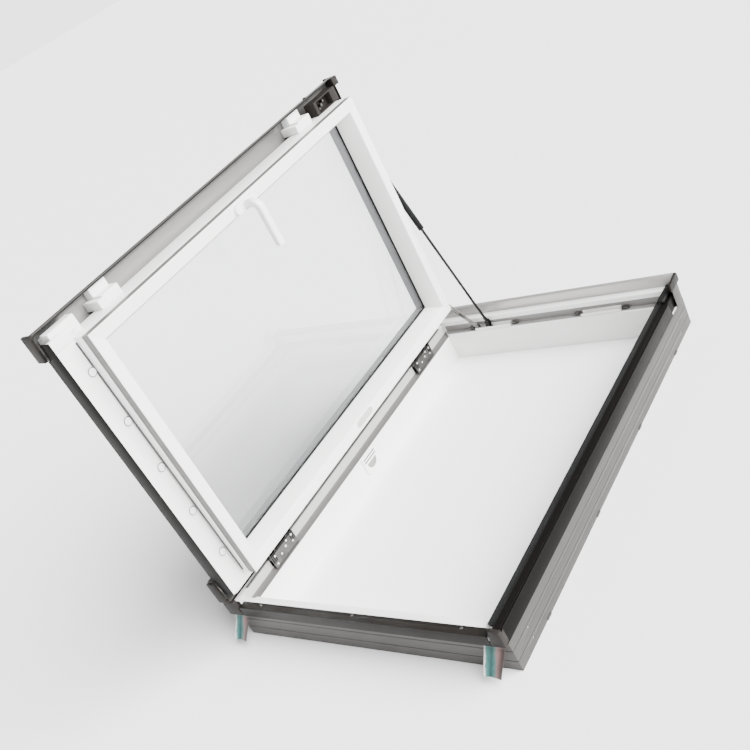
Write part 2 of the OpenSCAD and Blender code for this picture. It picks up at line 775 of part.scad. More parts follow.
// Lever: a neck out of the ring, a bent elbow and a flat grip
module handle_lever() {
    z0 = ring_z - neck_h;
    color(white) opened() translate([handle_x, handle_y, 0]) {
        translate([0, 0, z0 + grip_t]) cylinder(r = spindle_r, h = neck_h - grip_t - 0.5);
        translate([0, 0, z0 + grip_t - 1]) cylinder(r = lever_w / 2, h = neck_h - grip_t - rosette_h + 0.8);
        translate([0, 0, z0]) cylinder(r = lever_w / 2, h = grip_t);
        rotate([90, 0, 0]) linear_extrude(lever_w, center = true)
            polygon([[0, z0], [-grip_len, z0], [-grip_len + cut_end, z0 + grip_t], [0, z0 + grip_t]]);
        rotate([90, 0, 0]) linear_extrude(lever_w - 2, center = true) difference() {
            translate([-22, z0 + grip_t - 1]) square([22, 15]);
            translate([-22, z0 + grip_t + 14]) circle(14);
        }
    }
}

// Thin cover on the ring's inner face, opposite the catch plate
module ring_catch_cover() {
    color(white) opened() translate([-ring_x + 19, 10, ring_z - 1.2]) linear_extrude(1.2) {
        square([19, 60], center = true);
        for (m = [-1, 1]) translate([0, m * 30]) circle(9.5);
    }
}

// ---------- Gas spring and stay ----------

stud_shut = [hinge_x + stud_reach, ring_z + 40];
stud_open = carried(stud_shut);
spring_vec = stud_open - [foot_x, foot_z];
spring_len = norm(spring_vec);
shut_len = norm(stud_shut - [foot_x, foot_z]);
spring_tilt = atan2(spring_vec[0], spring_vec[1]);
fitting_len = 13;
rod_len = shut_len - fitting_len - 3;

// Short stud and plate on the ring's head face; the spring's upper eye stands just clear of it
module spring_stud() {
    color(steel) opened() translate([stud_shut[0], ring_y, stud_shut[1]]) rotate([-90, 0, 0]) {
        translate([-14, -9, 0]) cube([28, 18, 1]);
        translate([0, 0, 1]) cylinder(r = 4, h = spring_y - tube_r - ring_y - 1.3);
    }
}

module along_spring() {
    translate([foot_x, spring_y, foot_z]) rotate([0, spring_tilt, 0]) children();
}

module spring_rod() {
    color("#2b2a2a") along_spring() difference() {
        union() {
            rotate([90, 0, 0]) cylinder(r = eye_r, h = eye_t, center = true);
            translate([0, 0, eye_r + 0.3]) cylinder(r = rod_r + 1.2, h = 10);
            cylinder(r = rod_r, h = rod_len);
        }
        rotate([90, 0, 0]) cylinder(r = foot_pin_r + run_clear, h = eye_t + 2, center = true);
    }
}

module spring_tube() {
    mouth = spring_len - fitting_len - tube_len;
    color(black) along_spring() difference() {
        union() {
            translate([0, 0, mouth]) cylinder(r = tube_r, h = tube_len);
            translate([0, 0, mouth + tube_len]) cylinder(r = 5, h = fitting_len);
            translate([0, 0, spring_len]) rotate([90, 0, 0]) cylinder(r = eye_r, h = 9, center = true);
        }
        translate([0, 0, mouth - 1]) cylinder(r = rod_r + run_clear, h = tube_len - 1);
        translate([0, 0, spring_len]) rotate([90, 0, 0]) cylinder(r = 4.3, h = 11, center = true);
    }
}

stay_pin_shut = [hinge_x + 25, ring_z + 11];
stay_pin_open = carried(stay_pin_shut);
stay_vec = stay_pin_open - [stay_x, stay_z];
stay_tilt = atan2(stay_vec[0], stay_vec[1]);

module stay_pin() {
    color(steel) opened() translate([stay_pin_shut[0], ring_y, stay_pin_shut[1]]) rotate([-90, 0, 0])
        cylinder(r = stay_pin_r, h = stay_y - ring_y - 0.4);
}

// Flat slotted arm from the head rail to the sash
module stay_arm() {
    color(steel) translate([stay_x, stay_y + stay_t / 2, stay_z]) rotate([0, stay_tilt, 0]) rotate([90, 0, 0])
        linear_extrude(stay_t, center = true) difference() {
            union() {
                circle(stay_w / 2);
                translate([-stay_w / 2, 0]) square([stay_w, stay_len]);
                translate([0, stay_len]) circle(stay_w / 2);
            }
            circle(stay_pin_r + run_clear);
            translate([-stay_pin_r - 0.3, 68]) square([2 * stay_pin_r + 0.6, stay_len - 68]);
            translate([0, stay_len]) circle(stay_pin_r + 0.3);
        }
}

frame_sill();
frame_lock_side();
frame_head();
frame_hinge_side();
skin_sill();
skin_lock_side();
skin_head();
skin_hinge_side();
sill_cover();
sill_screws();
sill_caps();
head_cover();
head_caps();
lock_side_cover();
lock_side_strip();
lock_side_gasket();
gasket_end();
hinge_side_seal();
hinge_side_gutter();
hinge_frame_leaves();
hinge_leaf_rivets();
catch_plate();
head_rails();
rail_fittings();
spring_foot();
stay_post();
side_lugs();
foil_tail_lock();
foil_tail_hinge();
sash_sill();
sash_lock_side();
sash_head();
sash_hinge_side();
pane_inner();
pane_outer();
pane_spacer();
glazing_gasket();
ring_gasket();
sash_sill_flange();
flange_plugs();
sash_corner_blocks();
hood_clips();
hood_lock_side();
hood_hinge_side();
hood_head();
sash_sill_cover();
hood_sill_caps();
hood_head_caps();
hood_seal();
hinge_sash_leaves();
lock_box();
lock_box_bolts();
spring_stud();
stay_pin();
ring_catch_cover();
handle_base();
handle_lever();
spring_rod();
spring_tube();
stay_arm();
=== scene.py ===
import json
import math
import bmesh
import bpy
from mathutils import Matrix, Vector


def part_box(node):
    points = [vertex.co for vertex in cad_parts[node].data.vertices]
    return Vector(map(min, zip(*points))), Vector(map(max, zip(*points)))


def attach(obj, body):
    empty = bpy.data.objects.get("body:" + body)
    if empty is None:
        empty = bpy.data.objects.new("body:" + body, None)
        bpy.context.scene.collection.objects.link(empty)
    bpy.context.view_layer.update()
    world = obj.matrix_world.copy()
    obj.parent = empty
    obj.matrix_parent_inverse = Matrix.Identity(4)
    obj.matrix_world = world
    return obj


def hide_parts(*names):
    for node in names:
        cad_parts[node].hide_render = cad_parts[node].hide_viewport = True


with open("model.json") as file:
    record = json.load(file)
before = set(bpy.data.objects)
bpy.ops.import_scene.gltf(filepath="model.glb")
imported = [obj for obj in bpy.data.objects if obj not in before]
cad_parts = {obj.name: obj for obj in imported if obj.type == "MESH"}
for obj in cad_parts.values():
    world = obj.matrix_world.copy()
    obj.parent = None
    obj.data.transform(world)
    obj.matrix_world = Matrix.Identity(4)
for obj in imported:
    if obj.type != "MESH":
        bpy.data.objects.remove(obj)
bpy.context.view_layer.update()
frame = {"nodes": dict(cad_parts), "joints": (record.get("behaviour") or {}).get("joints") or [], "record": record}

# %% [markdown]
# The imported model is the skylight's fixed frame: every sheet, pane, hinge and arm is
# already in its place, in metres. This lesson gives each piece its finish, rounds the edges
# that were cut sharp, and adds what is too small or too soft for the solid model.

nodes = frame["nodes"]
slot_of = {part["node"]: part["material_slot"] for part in frame["record"]["subparts"]}
body_of = {name: body for body, names in frame["record"]["behaviour"]["bodies"].items() for name in names}

# %% [markdown]
# The sash stands open, so its pieces are turned. It is far easier to think of it lying shut
# and flat, so one helper carries a point from the shut place to the open one, and another
# carries it back. Both read the hinge from the record.

# %% Shut and open places of the sash
hinge = next(j for j in frame["joints"] if j["name"] == "sash_hinge")
hinge_at = Vector(hinge["pos_m"])
open_turn = Matrix.Rotation(math.radians(-hinge["range_deg"][1]), 4, "Y")
to_open = Matrix.Translation(hinge_at) @ open_turn @ Matrix.Translation(-hinge_at)
to_shut = to_open.inverted()
print("hinge at", tuple(round(v, 4) for v in hinge_at))

# %% [markdown]
# A lens and a viewpoint decide how the long frame shortens. The camera looks down from the
# front right, tilted to one side, through a normal lens, and a small shift keeps the
# object's place in the picture.

# %% Camera
lens = bpy.data.cameras.new("studio_camera")
lens.sensor_width = 36.0
lens.lens = 45.766
lens.shift_x = 0.01487
lens.shift_y = 0.09704
lens.clip_end = 100
camera = bpy.data.objects.new("studio_camera", lens)
camera.location = (1.3920, -1.5429, 1.3726)
camera.rotation_euler = [math.radians(a) for a in (57.3848, 26.6272, 32.3434)]
bpy.context.scene.collection.objects.link(camera)
bpy.context.scene.camera = camera

# %% [markdown]
# Metal and white plastic look like nothing without something pale to reflect. A large floor,
# a sky that is bright near the horizon, and one very soft key light wrap the window in even
# white light. The key comes from the right and above, so faces towards the sill fall a
# little into shade.

# %% Floor, sky and lights
floor_mesh = bpy.data.meshes.new("floor")
reach = 90.0
floor_corners = [(-reach, -reach, 0), (reach, -reach, 0), (reach, reach, 0), (-reach, reach, 0)]
floor_mesh.from_pydata(floor_corners, [], [(0, 1, 2, 3)])
floor = bpy.data.objects.new("floor", floor_mesh)
floor.location.z = -0.0005
bpy.context.scene.collection.objects.link(floor)
paper = bpy.data.materials.new("pale_paper")
paper.use_nodes = True
paper_shader = paper.node_tree.nodes["Principled BSDF"]
paper_shader.inputs["Base Color"].default_value = (0.93, 0.93, 0.93, 1)
paper_shader.inputs["Roughness"].default_value = 0.9
floor_mesh.materials.append(paper)

sky = bpy.data.worlds.new("white_tent")
sky.use_nodes = True
sky_place = sky.node_tree.nodes.new("ShaderNodeTexCoord")
sky_split = sky.node_tree.nodes.new("ShaderNodeSeparateXYZ")
sky_ramp = sky.node_tree.nodes.new("ShaderNodeValToRGB")
sky_glow = sky.node_tree.nodes["Background"]
near_horizon, overhead = sky_ramp.color_ramp.elements
near_horizon.position = 0.11
near_horizon.color = (1, 1, 1, 1)
overhead.position = 0.34
overhead.color = (0.15, 0.15, 0.15, 1)
sky.node_tree.links.new(sky_place.outputs["Generated"], sky_split.inputs[0])
sky.node_tree.links.new(sky_split.outputs["Z"], sky_ramp.inputs["Fac"])
sky.node_tree.links.new(sky_ramp.outputs["Color"], sky_glow.inputs["Color"])
sky_glow.inputs["Strength"].default_value = 3.0
bpy.context.scene.world = sky

key_direction = Vector((-1.0, -0.22, -0.80))
key = bpy.data.lights.new("key_light", "SUN")
key.energy = 16.5
key.angle = math.radians(60)
key_object = bpy.data.objects.new("key_light", key)
key_object.rotation_euler = key_direction.to_track_quat("-Z", "Y").to_euler()
bpy.context.scene.collection.objects.link(key_object)

# %% [markdown]
# Real surfaces are never one even colour. Paint has a faint orange peel, sheet metal shows
# the direction it was rolled, and plastic has a fine grain. Two shader groups hold these
# effects, so that each finish can use them with its own numbers. They put out only colours
# and heights; the shader stays in the material.

# %% Shader groups for grain and for rolled streaks
def new_group(name, numbers, colours):
    """Starts a shader group with number and colour inputs, and three outputs."""
    group = bpy.data.node_groups.new(name, "ShaderNodeTree")
    for label, value in numbers:
        socket = group.interface.new_socket(label, in_out="INPUT", socket_type="NodeSocketFloat")
        socket.default_value = value
    for label, value in colours:
        socket = group.interface.new_socket(label, in_out="INPUT", socket_type="NodeSocketColor")
        socket.default_value = value
    group.interface.new_socket("Color", in_out="OUTPUT", socket_type="NodeSocketColor")
    group.interface.new_socket("Roughness", in_out="OUTPUT", socket_type="NodeSocketFloat")
    group.interface.new_socket("Height", in_out="OUTPUT", socket_type="NodeSocketFloat")
    return group, group.nodes.new("NodeGroupInput"), group.nodes.new("NodeGroupOutput")


fine_share = 0.45
cloud_share = 0.55


def build_pattern_group(name, stretch, detail):
    """Mixes fine grain and wide clouds; the mix drives the tint and the roughness."""
    group, given, out = new_group(
        name,
        [("Scale", 300.0), ("Cloud Scale", 6.0), ("Roughness Low", 0.4), ("Roughness High", 0.5)],
        [("Base", (0.5, 0.5, 0.5, 1)), ("Tint", (0.45, 0.45, 0.45, 1))],
    )
    add = group.nodes.new
    link = group.links.new
    place = add("ShaderNodeTexCoord")
    squeeze = add("ShaderNodeMapping")
    squeeze.inputs["Scale"].default_value = stretch
    link(place.outputs["Object"], squeeze.inputs["Vector"])
    fine = add("ShaderNodeTexNoise")
    fine.inputs["Detail"].default_value = detail
    link(squeeze.outputs["Vector"], fine.inputs["Vector"])
    link(given.outputs["Scale"], fine.inputs["Scale"])
    cloud = add("ShaderNodeTexNoise")
    cloud.inputs["Detail"].default_value = 3.0
    link(place.outputs["Object"], cloud.inputs["Vector"])
    link(given.outputs["Cloud Scale"], cloud.inputs["Scale"])
    both = add("ShaderNodeMath")
    both.operation = "MULTIPLY_ADD"
    both.inputs[1].default_value = fine_share
    link(fine.outputs["Fac"], both.inputs[0])
    part = add("ShaderNodeMath")
    part.operation = "MULTIPLY"
    part.inputs[1].default_value = cloud_share
    link(cloud.outputs["Fac"], part.inputs[0])
    link(part.outputs[0], both.inputs[2])
    spread = add("ShaderNodeMapRange")
    spread.inputs["From Min"].default_value = 0.35
    spread.inputs["From Max"].default_value = 0.65
    link(both.outputs[0], spread.inputs["Value"])
    blend = add("ShaderNodeMix")
    blend.data_type = "RGBA"
    link(spread.outputs["Result"], blend.inputs["Factor"])
    link(given.outputs["Base"], blend.inputs[6])
    link(given.outputs["Tint"], blend.inputs[7])
    gloss = add("ShaderNodeMix")
    link(spread.outputs["Result"], gloss.inputs["Factor"])
    link(given.outputs["Roughness Low"], gloss.inputs[2])
    link(given.outputs["Roughness High"], gloss.inputs[3])
    link(blend.outputs[2], out.inputs["Color"])
    link(gloss.outputs[0], out.inputs["Roughness"])
    link(fine.outputs["Fac"], out.inputs["Height"])
    return group


moulded_grain = build_pattern_group("moulded_grain", (1, 1, 1), 4.0)
rolled_along_y = build_pattern_group("rolled_along_y", (1, 0.03, 1), 2.0)
rolled_along_x = build_pattern_group("rolled_along_x", (0.03, 1, 1), 2.0)

# %% [markdown]
# One small function places a group in a material and wires it to a Principled shader. The
# numbers are what differ: how pale, how rough, how metallic, how deep the grain.

# %% A function that makes a finish
def shade(colour, factor):
    """The colour made darker or paler by a factor."""
    return tuple(min(1.0, c * factor) for c in colour[:3]) + (1,)


def finish_of(name, group, colour, tint, rough, scale, depth,
              metal=0.0, coat=0.0, cloud=6.0, specular=0.5):
    """A material: tint darkens the clouds, rough is a pair, scale and depth are the grain's."""
    material = bpy.data.materials.new(name)
    material.use_nodes = True
    tree = material.node_tree
    shader = tree.nodes["Principled BSDF"]
    pattern = tree.nodes.new("ShaderNodeGroup")
    pattern.node_tree = group
    pattern.inputs["Scale"].default_value = scale
    pattern.inputs["Cloud Scale"].default_value = cloud
    pattern.inputs["Roughness Low"].default_value = rough[0]
    pattern.inputs["Roughness High"].default_value = rough[1]
    pattern.inputs["Base"].default_value = colour
    pattern.inputs["Tint"].default_value = shade(colour, tint)
    bump = tree.nodes.new("ShaderNodeBump")
    bump.inputs["Strength"].default_value = 0.6
    bump.inputs["Distance"].default_value = depth
    tree.links.new(pattern.outputs["Color"], shader.inputs["Base Color"])
    tree.links.new(pattern.outputs["Roughness"], shader.inputs["Roughness"])
    tree.links.new(pattern.outputs["Height"], bump.inputs["Height"])
    tree.links.new(bump.outputs["Normal"], shader.inputs["Normal"])
    shader.inputs["Metallic"].default_value = metal
    shader.inputs["Coat Weight"].default_value = coat
    shader.inputs["Specular IOR Level"].default_value = specular
    return material


# %% [markdown]
# The window has three families of finish: the white moulded skin of frame and sash, the
# taupe and dark brown paint on the outside metal, and small parts in bright steel, black
# rubber and white plastic. Rolled sheet gets streaks along its length, so pieces that run
# along the sill and head use the other direction.

# %% Finishes
white_skin = finish_of("white_skin", moulded_grain, (0.80, 0.80, 0.79, 1), 0.975,
                       (0.32, 0.42), 420, 0.00004, coat=0.15)
white_plastic = finish_of("white_plastic", moulded_grain, (0.82, 0.82, 0.815, 1), 0.98,
                          (0.22, 0.32), 700, 0.00002, coat=0.3)
taupe_long = finish_of("taupe_paint_long", rolled_along_y, (0.046, 0.0425, 0.0395, 1), 0.93,
                       (0.36, 0.46), 1500, 0.00001, metal=0.35)
taupe_cross = finish_of("taupe_paint_cross", rolled_along_x, (0.046, 0.0425, 0.0395, 1), 0.93,
                        (0.36, 0.46), 1500, 0.00001, metal=0.35)
dark_long = finish_of("dark_paint_long", rolled_along_y, (0.004, 0.0034, 0.003, 1), 0.88,
                      (0.36, 0.46), 1500, 0.00001, specular=0.06)
dark_cross = finish_of("dark_paint_cross", rolled_along_x, (0.010, 0.0086, 0.0077, 1), 0.88,
                       (0.36, 0.46), 1500, 0.00001, specular=0.1)
bare_aluminium = finish_of("bare_aluminium", rolled_along_x, (0.40, 0.39, 0.38, 1), 0.92,
                           (0.28, 0.38), 1500, 0.00001, metal=0.6)
silver_inside = finish_of("silver_inside", rolled_along_y, (0.24, 0.236, 0.228, 1), 0.94,
                          (0.32, 0.42), 1500, 0.00001, metal=0.7)
bright_steel = finish_of("bright_steel", moulded_grain, (0.13, 0.127, 0.122, 1), 0.5,
                         (0.22, 0.38), 500, 0.00004, metal=1.0, cloud=40.0)
black_rubber = finish_of("black_rubber", moulded_grain, (0.005, 0.005, 0.005, 1), 1.6,
                         (0.5, 0.66), 600, 0.00006, specular=0.15)
taupe_plastic = finish_of("taupe_plastic", moulded_grain, (0.015, 0.0128, 0.0115, 1), 0.85,
                          (0.4, 0.55), 500, 0.00005, specular=0.12)
rail_metal = finish_of("rail_metal", rolled_along_x, (0.72, 0.71, 0.70, 1), 0.9,
                       (0.25, 0.35), 900, 0.00001, metal=0.3)
rivet_steel = finish_of("rivet_steel", moulded_grain, (0.80, 0.79, 0.77, 1), 0.9,
                        (0.15, 0.25), 500, 0.00002, metal=0.9)
# A grey that is painted shade: on the head shelf, the head rebate face and the catch plate's pocket floor.
painted_shade_grey = finish_of("painted_shade_grey", rolled_along_x, (0.19, 0.184, 0.178, 1), 0.92,
                       (0.4, 0.5), 900, 0.00002)
# A mid grey copy of the white skin: painted shade on the frame's upstands and the ring catch cover.
painted_shade_white = finish_of("painted_shade_white", moulded_grain, (0.42, 0.415, 0.408, 1), 0.97,
                          (0.4, 0.5), 420, 0.00004)
# A near-black copy of the white skin: painted shade on the upward faces of the frame's scoop.
painted_shade_scoop = finish_of("painted_shade_scoop", moulded_grain, (0.095, 0.089, 0.086, 1), 0.9,
                        (0.5, 0.6), 420, 0.00004, cloud=3.0)
# A grey for the hinge seal and the sash ring's outer side, partly their own tone and partly painted shade; on the
# plug rims it is painted shade.
seal_grey_and_shade = finish_of("seal_grey_and_shade", rolled_along_y, (0.11, 0.106, 0.103, 1), 0.9,
                      (0.4, 0.5), 900, 0.00002)
spacer_metal = finish_of("spacer_metal", moulded_grain, (0.20, 0.195, 0.215, 1), 0.85,
                         (0.35, 0.45), 300, 0.00002, metal=0.6)
black_tube = finish_of("black_tube", moulded_grain, (0.004, 0.004, 0.004, 1), 1.5,
                       (0.32, 0.42), 300, 0.00001, specular=0.1)
dark_rod = finish_of("dark_rod", moulded_grain, (0.03, 0.03, 0.03, 1), 0.8,
                     (0.12, 0.2), 300, 0.00001, metal=1.0)

# %% [markdown]
# Glass is the one finish with hardly any pattern: a trace of dust in its roughness. Its
# metallic and transmission values stay plain numbers on the shader.

# %% Glass
clear_glass = bpy.data.materials.new("clear_glass")
clear_glass.use_nodes = True
glass_tree = clear_glass.node_tree
glass_shader = glass_tree.nodes["Principled BSDF"]
glass_shader.inputs["Base Color"].default_value = (0.985, 0.995, 0.99, 1)
glass_shader.inputs["Transmission Weight"].default_value = 1.0
glass_shader.inputs["IOR"].default_value = 1.45
dust = glass_tree.nodes.new("ShaderNodeTexNoise")
dust.inputs["Scale"].default_value = 9.0
dust_range = glass_tree.nodes.new("ShaderNodeMapRange")
dust_range.inputs["To Min"].default_value = 0.0
dust_range.inputs["To Max"].default_value = 0.02
dust_place = glass_tree.nodes.new("ShaderNodeTexCoord")
glass_tree.links.new(dust_place.outputs["Object"], dust.inputs["Vector"])
glass_tree.links.new(dust.outputs["Fac"], dust_range.inputs["Value"])
glass_tree.links.new(dust_range.outputs["Result"], glass_shader.inputs["Roughness"])

# %% [markdown]
# Each CAD piece names a material slot in its record. A table turns slots into finishes. A
# few pieces take their own finish instead: those along the sill and head, whose streaks run
# across, and those that lie deep in the shade of a rebate, where the hinge seal and the catch
# cover take greys that are painted shade.

# %% Finishes onto the CAD pieces
finish_for_slot = {
    "white_paint": white_skin,
    "taupe_metal": taupe_long,
    "dark_metal": dark_long,
    "light_metal": bare_aluminium,
    "bright_steel": bright_steel,
    "black_rubber": black_rubber,
    "clear_glass": clear_glass,
    "spacer_bar": spacer_metal,
    "taupe_plastic": taupe_plastic,
    "white_plastic": white_plastic,
    "black_metal": black_tube,
    "dark_rod": dark_rod,
    "foil_fabric": white_plastic,
}
own_finish = {
    "skin_sill": taupe_cross,
    "skin_head": taupe_cross,
    "sill_cover": dark_cross,
    "head_rails": rail_metal,
    "hinge_side_gutter": taupe_long,
    # The hinge seal's grey is partly its own and partly painted shade; the catch cover's darker white is painted
    # shade.
    "hinge_side_seal": seal_grey_and_shade,
    "ring_catch_cover": painted_shade_white,
}
finish_for_node = {name: own_finish.get(name, finish_for_slot[slot_of[name]]) for name in nodes}
for name, piece in nodes.items():
    piece.data.materials.clear()
    piece.data.materials.append(finish_for_node[name])
print("finishes", len(finish_for_slot) + len(own_finish))

# %% [markdown]
# No moulded or folded edge is perfectly sharp, and the thin bright line along a rounded edge
# is what makes white on white readable. A bevel could be faked in a shader, but true geometry
# also shows in the outline. Each piece here is a copy of its CAD node with merged corners,
# flat faces joined, and a small bevel. Where two members meet at a mitre the bevel is only a
# hair wide, so the joint shows as a fine line. Faces deep in a rebate get darker finishes as
# painted shade: the frame's scoops, upstands and head shelf, and the sash ring's outer side.

# %% Rounded copies of the CAD pieces
same_corner = 0.000005
same_plane = math.radians(0.4)
bevel_from = math.radians(28)
smooth_up_to = math.radians(32)
mitre_bevel = 0.18
frame_mitre = (0.390, 0.590)
sash_mitre = (0.3455, 0.5435)
sash_members = ("sash_sill", "sash_lock_side", "sash_head", "sash_hinge_side")
hood_x, hood_y, hood_z = 0.363, 0.573, 0.190
hollow_middle = {
    "hood_lock_side": lambda p: Vector((hood_x, p.y, hood_z)),
    "hood_hinge_side": lambda p: Vector((-hood_x, p.y, hood_z)),
    "hood_head": lambda p: Vector((p.x, hood_y, hood_z)),
}


def settle(piece, body, slot_name, *replaced):
    """Turns a piece's modifiers into plain mesh, smooths it, hangs it on its body and hides what it replaces."""
    shown = piece.evaluated_get(bpy.context.evaluated_depsgraph_get())
    mesh = bpy.data.meshes.new_from_object(shown)
    piece.modifiers.clear()
    piece.data = mesh
    mesh.shade_smooth()
    mesh.set_sharp_from_angle(angle=smooth_up_to)
    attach(piece, body)
    if replaced:
        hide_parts(*replaced)
    return piece


def on_mitre(point, half_x, half_y):
    """Whether a point lies on the diagonal plane where two members meet."""
    return abs((half_x - abs(point.x)) - (half_y - abs(point.y))) < 0.0002


def line_hollow(piece, name):
    """Gives the faces that look into a hood's hollow the bare metal of its inside."""
    piece.data.materials.append(silver_inside)
    for face in piece.data.polygons:
        middle = to_shut @ face.center
        facing = to_shut.to_3x3() @ face.normal
        if facing.dot(hollow_middle[name](middle) - middle) > 0:
            face.material_index = 1


# Heights of faces whose finish is painted shade: the frame's scoop floor and upstand, the head shelf, and the sash
# ring's outer side.
scoop_floor = (0.0815, 0.0895)
upstand_from, upstand_to, upstand_x = 0.0895, 0.113, 0.364
shelf_floor = (0.088, 0.0905)
ring_side_shade_from, ring_side_shade_to = 0.0925, 0.112


def shaded_finish(name, middle, normal):
    """The finish of a face that takes another than its piece's, or None; the greys are painted shade."""
    z = middle.z
    if name == "frame_lock_side" and (z > upstand_to or middle.x > 0.3815 and z > 0.085):
        return dark_long
    if name in ("frame_hinge_side", "frame_lock_side"):
        if scoop_floor[0] < z < scoop_floor[1] and normal.z > 0.1:
            return painted_shade_scoop
        if upstand_from < z < upstand_to and abs(abs(middle.x) - upstand_x) < 0.0005:
            return painted_shade_white
    if name == "frame_head" and middle.x > 0.35:
        return dark_long
    if name == "frame_head" and shelf_floor[0] < z < shelf_floor[1] and normal.z > 0.9:
        return painted_shade_grey
    if name in sash_members and ring_side_shade_from < z < ring_side_shade_to:
        outside = max(abs(middle.x) - sash_mitre[0], abs(middle.y) - sash_mitre[1])
        if outside > -0.0005:
            return seal_grey_and_shade
    return None


gasket_end_y, gasket_extra = -0.540, 0.0345


def rounded_copy(name, width, steps=2, mitre=None, is_sash=False):
    """Copies a CAD node with its sharp edges rounded, finer where two members meet."""
    shape = bmesh.new()
    shape.from_mesh(nodes[name].data)
    bmesh.ops.remove_doubles(shape, verts=shape.verts, dist=same_corner)
    bmesh.ops.dissolve_limit(shape, angle_limit=same_plane, verts=shape.verts, edges=shape.edges)
    weight = shape.edges.layers.float.new("bevel_weight_edge")
    for edge in shape.edges:
        if len(edge.link_faces) != 2 or edge.calc_face_angle(0) < bevel_from:
            continue
        edge[weight] = 1.0
        if mitre:
            ends = [(to_shut @ v.co) if is_sash else v.co for v in edge.verts]
            if all(on_mitre(p, *mitre) for p in ends):
                edge[weight] = mitre_bevel
    mesh = bpy.data.meshes.new(name + "_rounded")
    shape.to_mesh(mesh)
    shape.free()
    if name == "lock_side_gasket":
        for v in mesh.vertices:
            v.co.y -= gasket_extra if v.co.y < gasket_end_y else 0
    piece = bpy.data.objects.new(name + "_rounded", mesh)
    bpy.context.scene.collection.objects.link(piece)
    bevel = piece.modifiers.new("soft_edge", "BEVEL")
    bevel.limit_method = "WEIGHT"
    bevel.width = width
    bevel.segments = steps
    bevel.use_clamp_overlap = True
    piece.data.materials.append(finish_for_node[name])
    for face in mesh.polygons:
        middle = to_shut @ face.center if is_sash else face.center
        finish = shaded_finish(name, middle, face.normal)
        if finish:
            if finish.name not in mesh.materials:
                mesh.materials.append(finish)
            face.material_index = mesh.materials.find(finish.name)
    settle(piece, body_of[name], slot_of[name], name)
    if name in hollow_middle:
        line_hollow(piece, name)
    return piece


for name in ("frame_sill", "frame_lock_side", "frame_head", "frame_hinge_side"):
    rounded_copy(name, 0.0016, 3, frame_mitre)
for name in sash_members:
    rounded_copy(name, 0.0016, 3, sash_mitre, True)
for name in ("skin_sill", "skin_lock_side", "skin_head", "skin_hinge_side"):
    rounded_copy(name, 0.0003, 2, frame_mitre)
for name in ("sash_sill_flange", "sash_corner_blocks", "hood_clips", "catch_plate",
             "handle_base"):
    rounded_copy(name, 0.0012, 3)
for name in ("sill_caps", "head_caps", "hood_sill_caps", "hood_head_caps", "lock_box",
             "gasket_end"):
    rounded_copy(name, 0.0008, 2)
for name in ("hood_lock_side", "hood_hinge_side", "hood_head", "sash_sill_cover", "sill_cover",
             "lock_side_cover", "lock_side_strip", "head_cover", "hinge_side_gutter", "head_rails",
             "ring_catch_cover", "stay_arm", "side_lugs", "lock_side_gasket", "hinge_side_seal"):
    rounded_copy(name, 0.0004, 2)
print("rounded copies made")

# %% [markdown]
# Screws and rivets are all alike, so one head is modelled and Geometry Nodes set it down
# wherever it is wanted. The tree takes the points, the head and a turn, and ends in plain
# geometry with its finish. The head itself is a turned profile: spun round its axis, with a
# cross cut into it where a driver goes.

# %% A turned profile, and the tree that repeats it
def turned(name, profile, sides=24, cross=None):
    """Spins (radius, height) pairs round Z; a cross of (length, width, depth) may be cut."""
    shape = bmesh.new()
    rings = []
    for radius, height in profile:
        if radius == 0:
            rings.append([shape.verts.new((0, 0, height))])
        else:
            angles = [2 * math.pi * k / sides for k in range(sides)]
            rings.append([shape.verts.new((radius * math.cos(a), radius * math.sin(a), height))
                          for a in angles])
    for low, high in zip(rings, rings[1:]):
        for k in range(sides):
            a, b = low[k % len(low)], low[(k + 1) % len(low)]
            c, d = high[(k + 1) % len(high)], high[k % len(high)]
            corners = list(dict.fromkeys((a, b, c, d)))
            if len(corners) > 2:
                shape.faces.new(corners)
    bmesh.ops.recalc_face_normals(shape, faces=shape.faces)
    mesh = bpy.data.meshes.new(name)
    shape.to_mesh(mesh)
    shape.free()
    head = bpy.data.objects.new(name, mesh)
    bpy.context.scene.collection.objects.link(head)
    if cross:
        length, width, depth = cross
        top = profile[-1][1]
        cutter_shape = bmesh.new()
        at_top = Matrix.Translation((0, 0, top)) @ Matrix.Diagonal((length, width, 2 * depth, 1))
        bmesh.ops.create_cube(cutter_shape, size=1.0, matrix=at_top)
        first = bpy.data.meshes.new("slot_cutter")
        cutter_shape.to_mesh(first)
        cutter_shape.free()
        for quarter in (0, 1):
            cutter = bpy.data.objects.new("slot_cutter", first.copy())
            cutter.data.transform(Matrix.Rotation(quarter * math.pi / 2, 4, "Z"))
            bpy.context.scene.collection.objects.link(cutter)
            cut = head.modifiers.new("slot", "BOOLEAN")
            cut.object = cutter
            cut.solver = "EXACT"
            shown = head.evaluated_get(bpy.context.evaluated_depsgraph_get())
            head.data = bpy.data.meshes.new_from_object(shown)
            head.modifiers.clear()
            bpy.data.objects.remove(cutter)
    return head


